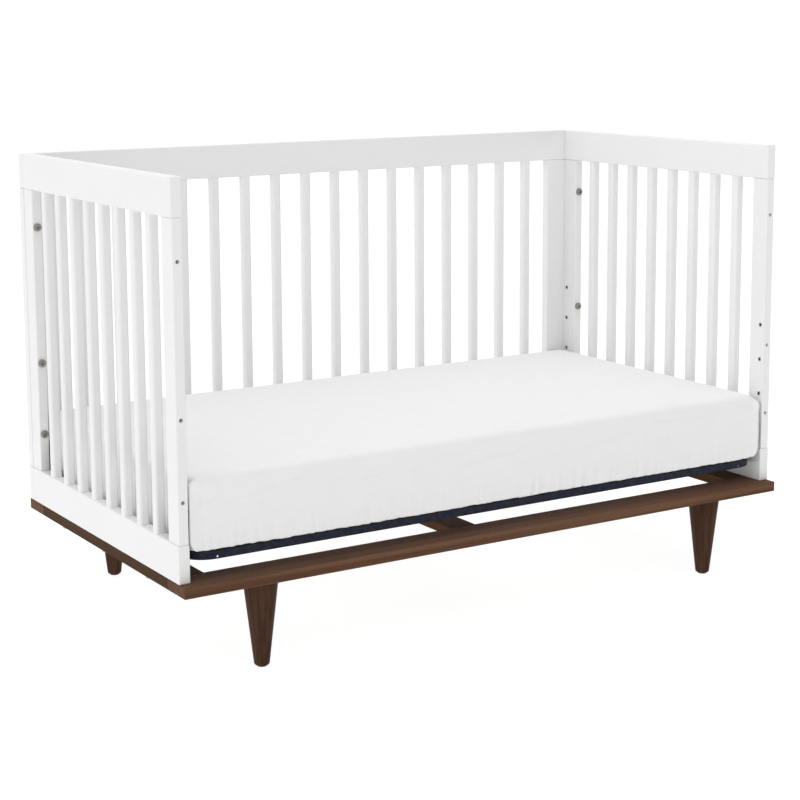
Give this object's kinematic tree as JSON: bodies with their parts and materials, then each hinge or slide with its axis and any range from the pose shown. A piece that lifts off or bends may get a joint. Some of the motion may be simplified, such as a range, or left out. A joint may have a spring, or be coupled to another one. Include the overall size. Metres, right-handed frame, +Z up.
{
  "type": "crib",
  "caption": "Slatted crib in open-front form: white end and back panels on a walnut base with turned tapered legs, a height-adjustable metal mattress support and a sheeted mattress.",
  "frame": {"origin": "on the floor under the middle of the base's outline", "axes": "+X along the crib's length to its right end, +Y from the open front to the back panel, +Z up"},
  "size_m": [1.387, 0.742, 0.899],
  "materials": {
    "white_paint": "white satin lacquer over wood, grain just readable",
    "walnut_board": "walnut stain, satin lacquer",
    "walnut_leg": "dark walnut stain, satin lacquer",
    "beech_dowel": "bare beech",
    "zinc_steel": "zinc plated",
    "black_bolt": "black oxide",
    "brass_insert": "plain brass",
    "glide_plastic": "dark nylon",
    "navy_metal": "dark navy powder coat",
    "deck_wire": "dark grey enamel",
    "spring_steel": "drawn spring wire",
    "mattress_ticking": "woven white ticking",
    "white_sheet": "plain white cotton percale"
  },
  "bodies": {
    "crib": {"base_front_board": "walnut_board", "base_rear_board": "walnut_board", "base_left_board": "walnut_board", "base_right_board": "walnut_board", "base_cross_board": "walnut_board", "base_dowels": "beech_dowel", "leg_front_left": "walnut_leg", "leg_front_right": "walnut_leg", "leg_rear_left": "walnut_leg", "leg_rear_right": "walnut_leg", "leg_bolts": "zinc_steel", "leg_inserts": "brass_insert", "leg_glides": "glide_plastic", "left_top_rail": "white_paint", "left_bottom_rail": "white_paint", "left_front_post": "white_paint", "left_rear_post": "white_paint", "left_slats": "white_paint", "right_top_rail": "white_paint", "right_bottom_rail": "white_paint", "right_front_post": "white_paint", "right_rear_post": "white_paint", "right_slats": "white_paint", "back_top_rail": "white_paint", "back_bottom_rail": "white_paint", "back_left_stile": "white_paint", "back_right_stile": "white_paint", "back_slats_row": "white_paint", "panel_dowels": "beech_dowel", "panel_bolts": "zinc_steel", "panel_inserts": "brass_insert", "foot_screws": "zinc_steel", "foot_inserts": "brass_insert", "height_inserts": "zinc_steel", "height_bolts": "black_bolt"},
    "mattress_support": {"support_front_rail": "navy_metal", "support_rear_rail": "navy_metal", "support_left_rail": "navy_metal", "support_right_rail": "navy_metal", "bracket_front_left": "navy_metal", "bracket_front_right": "navy_metal", "bracket_rear_left": "navy_metal", "bracket_rear_right": "navy_metal", "bracket_rivets": "zinc_steel", "deck_long_wires": "deck_wire", "deck_cross_wires": "deck_wire", "deck_springs": "spring_steel"},
    "mattress": {"mattress_core": "mattress_ticking", "fitted_sheet": "white_sheet"}
  },
  "joints": [
    {"name": "support_height", "type": "slide", "parent": "crib", "child": "mattress_support", "axis": [0, 0, 1], "range_m": [0, 0.222]},
    {"name": "mattress_lift", "type": "slide", "parent": "mattress_support", "child": "mattress", "axis": [0, 0, 1], "range_m": [0, 0.665]}
  ]
}
